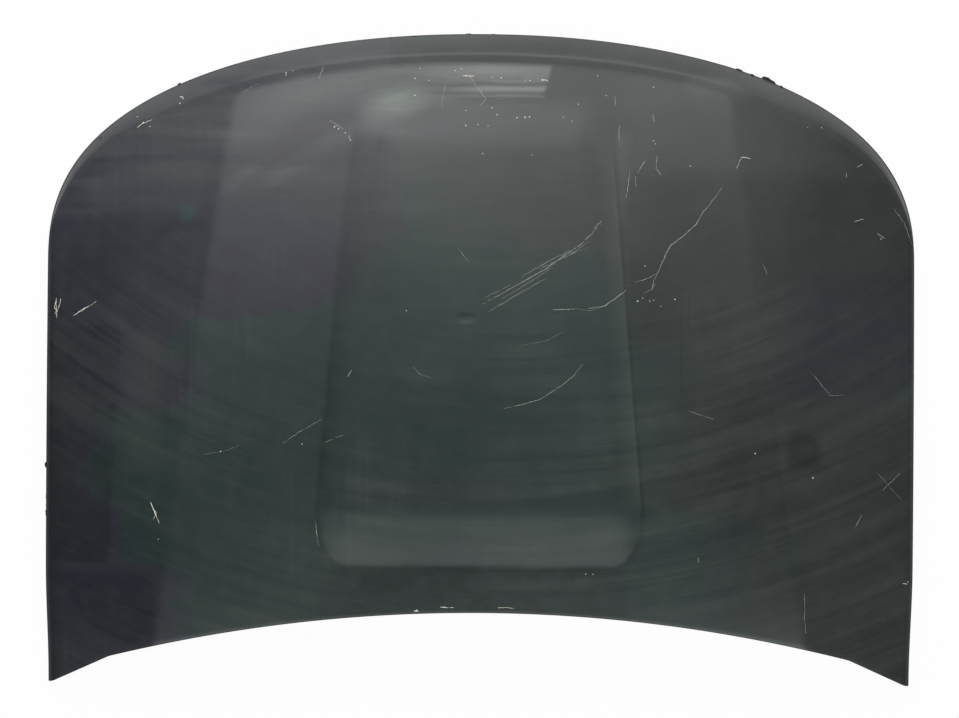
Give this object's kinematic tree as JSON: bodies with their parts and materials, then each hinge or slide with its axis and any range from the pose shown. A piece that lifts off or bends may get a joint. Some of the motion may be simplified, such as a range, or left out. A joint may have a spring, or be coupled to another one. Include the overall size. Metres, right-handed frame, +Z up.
{
  "type": "car bonnet",
  "caption": "Detached steel car bonnet: creased outer skin with a raised centre, hemmed to a pressed inner panel with latch striker.",
  "frame": {"origin": "middle of the plan box, at the height of the lowest point, on the floor it lies on", "axes": "+X to the right side of the picture, +Y to the front of the car, +Z up through the outer skin"},
  "size_m": [1.5, 1.1248, 0.1599],
  "materials": {
    "satin_paint": "worn satin dark grey paint",
    "primer_paint": "thin matt body colour over primer",
    "zinc_steel": "zinc plated",
    "black_rubber": "matt",
    "mastic": "matt cured mastic"
  },
  "bodies": {
    "root": {"outer_panel": "satin_paint", "inner_panel": "primer_paint", "hinge_reinforcement_left": "primer_paint", "hinge_reinforcement_right": "primer_paint", "striker_reinforcement": "primer_paint", "striker_base": "zinc_steel", "striker_loop": "zinc_steel", "striker_screw_left": "zinc_steel", "striker_screw_right": "zinc_steel", "striker_nut_left": "zinc_steel", "striker_nut_right": "zinc_steel", "hinge_nut_left_front": "zinc_steel", "hinge_nut_left_rear": "zinc_steel", "hinge_nut_right_front": "zinc_steel", "hinge_nut_right_rear": "zinc_steel", "strut_stud_left": "zinc_steel", "strut_stud_right": "zinc_steel", "bump_stop_left": "black_rubber", "bump_stop_right": "black_rubber", "seal_front": "black_rubber", "mastic_drop_left_01": "mastic", "mastic_drop_right_01": "mastic", "mastic_drop_left_02": "mastic", "mastic_drop_right_02": "mastic", "mastic_drop_left_03": "mastic", "mastic_drop_right_03": "mastic", "mastic_drop_left_04": "mastic", "mastic_drop_right_04": "mastic", "mastic_drop_left_05": "mastic", "mastic_drop_right_05": "mastic", "mastic_drop_left_06": "mastic", "mastic_drop_right_06": "mastic", "mastic_drop_left_07": "mastic", "mastic_drop_right_07": "mastic", "mastic_drop_left_08": "mastic", "mastic_drop_right_08": "mastic", "mastic_drop_left_09": "mastic", "mastic_drop_right_09": "mastic"}
  },
  "joints": []
}
